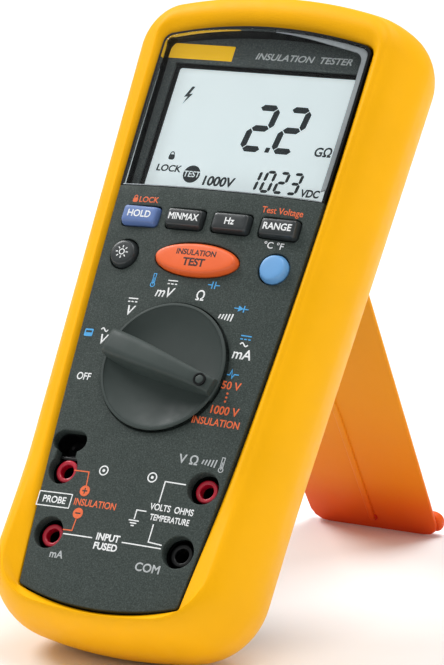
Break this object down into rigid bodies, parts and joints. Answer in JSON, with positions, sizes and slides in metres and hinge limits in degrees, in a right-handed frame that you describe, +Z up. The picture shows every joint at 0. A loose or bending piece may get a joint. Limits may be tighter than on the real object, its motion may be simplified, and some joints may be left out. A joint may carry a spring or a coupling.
{
  "type": "insulation resistance tester",
  "caption": "Handheld tester in a soft yellow holster on a fold-out stand, with a display, press keys, a rotary knob and shrouded jacks.",
  "frame": {"origin": "middle of the footprint on the surface that the tester stands on", "axes": "+Z up, -Y towards the user, +X to the right across the face"},
  "size_m": [0.0946, 0.1826, 0.1773],
  "materials": {
    "holster_yellow": "soft moulded, satin",
    "stand_yellow": "moulded, satin",
    "steel": "plated",
    "panel_grey": "fine grain",
    "case_dark": "fine grain",
    "black_rubber": "matt",
    "window_clear": "clear, polished",
    "mask_grey": "fine grain",
    "display_pale": "satin polariser",
    "white_plastic": "moulded",
    "key_violet": "moulded rubber",
    "key_dark": "moulded rubber",
    "key_orange": "moulded rubber",
    "key_blue": "moulded rubber",
    "knob_dark": "satin",
    "brass": "plated",
    "board_green": "solder mask",
    "jack_red": "moulded",
    "jack_black": "moulded",
    "ceramic_white": "plain",
    "ferrite": "matt",
    "coil_tape": "tape",
    "capacitor_blue": "sleeve",
    "chip_black": "moulded",
    "cell_wrap": "wrapped",
    "lock_grey": "moulded"
  },
  "bodies": {
    "root": {"holster": "holster_yellow", "stand_pins": "steel", "front_case": "panel_grey", "rear_case": "case_dark", "case_gasket": "black_rubber", "display_window": "window_clear", "display_mask": "mask_grey", "display_glass": "display_pale", "display_holder": "white_plastic", "backlight_panel": "white_plastic", "contact_strips": "black_rubber", "key_mat": "black_rubber", "knob_seal": "black_rubber", "detent_spring": "steel", "main_board": "board_green", "input_board": "board_green", "board_connector": "white_plastic", "red_jack_sleeves": "jack_red", "black_jack_sleeve": "jack_black", "jack_contacts": "brass", "probe_socket": "jack_black", "probe_contacts": "brass", "fuse": "ceramic_white", "fuse_clips": "brass", "transformer_core": "ferrite", "transformer_coil": "coil_tape", "relays": "white_plastic", "capacitors": "capacitor_blue", "varistors": "capacitor_blue", "chips": "chip_black", "buzzer": "chip_black", "board_shield": "steel", "board_screws": "steel", "case_screws": "steel", "battery_tray": "case_dark", "cells": "cell_wrap", "battery_springs": "steel", "battery_plates": "steel"},
    "stand": {"tilt_stand": "stand_yellow"},
    "knob": {"function_knob": "knob_dark", "knob_dot": "knob_dark", "switch_rotor": "white_plastic", "rotor_contacts": "brass"},
    "hold_key_body": {"hold_key": "key_violet"},
    "minmax_key_body": {"minmax_key": "key_dark"},
    "hertz_key_body": {"hertz_key": "key_dark"},
    "range_key_body": {"range_key": "key_dark"},
    "backlight_key_body": {"backlight_key": "key_dark"},
    "test_key_body": {"test_key_cap": "key_orange"},
    "shift_key_body": {"shift_key": "key_blue"},
    "door": {"battery_door": "case_dark", "door_seal": "black_rubber"},
    "left_lock_body": {"left_lock": "lock_grey"},
    "right_lock_body": {"right_lock": "lock_grey"}
  },
  "joints": [
    {"name": "stand_hinge", "type": "hinge", "parent": "root", "child": "stand", "pos_m": [0, 0.01881, 0.10756], "axis": [-1, 0, 0], "range_deg": [0, 66.9]},
    {"name": "knob_turn", "type": "hinge", "parent": "root", "child": "knob", "pos_m": [0, -0.04669, 0.07841], "axis": [0, -0.829, 0.5592], "range_deg": [0, 210]},
    {"name": "hold_press", "type": "slide", "parent": "root", "child": "hold_key_body", "axis": [0, 0.829, -0.5592], "range_m": [0, 0.0012], "stiffness_N_per_m": 500, "springref_m": -0.0008},
    {"name": "minmax_press", "type": "slide", "parent": "root", "child": "minmax_key_body", "axis": [0, 0.829, -0.5592], "range_m": [0, 0.0012], "stiffness_N_per_m": 500, "springref_m": -0.0008},
    {"name": "hertz_press", "type": "slide", "parent": "root", "child": "hertz_key_body", "axis": [0, 0.829, -0.5592], "range_m": [0, 0.0012], "stiffness_N_per_m": 500, "springref_m": -0.0008},
    {"name": "range_press", "type": "slide", "parent": "root", "child": "range_key_body", "axis": [0, 0.829, -0.5592], "range_m": [0, 0.0012], "stiffness_N_per_m": 500, "springref_m": -0.0008},
    {"name": "backlight_press", "type": "slide", "parent": "root", "child": "backlight_key_body", "axis": [0, 0.829, -0.5592], "range_m": [0, 0.0012], "stiffness_N_per_m": 500, "springref_m": -0.0008},
    {"name": "test_press", "type": "slide", "parent": "root", "child": "test_key_body", "axis": [0, 0.829, -0.5592], "range_m": [0, 0.0012], "stiffness_N_per_m": 500, "springref_m": -0.0008},
    {"name": "shift_press", "type": "slide", "parent": "root", "child": "shift_key_body", "axis": [0, 0.829, -0.5592], "range_m": [0, 0.0012], "stiffness_N_per_m": 500, "springref_m": -0.0008},
    {"name": "door_lift", "type": "slide", "parent": "root", "child": "door", "axis": [0, -0.829, 0.5592], "range_m": [-0.012, 0]},
    {"name": "left_lock_turn", "type": "hinge", "parent": "door", "child": "left_lock_body", "pos_m": [-0.02, 0.00859, 0.09938], "axis": [0, 0.829, -0.5592], "range_deg": [0, 90]},
    {"name": "right_lock_turn", "type": "hinge", "parent": "door", "child": "right_lock_body", "pos_m": [0.02, 0.00859, 0.09938], "axis": [0, 0.829, -0.5592], "range_deg": [0, 90]}
  ]
}
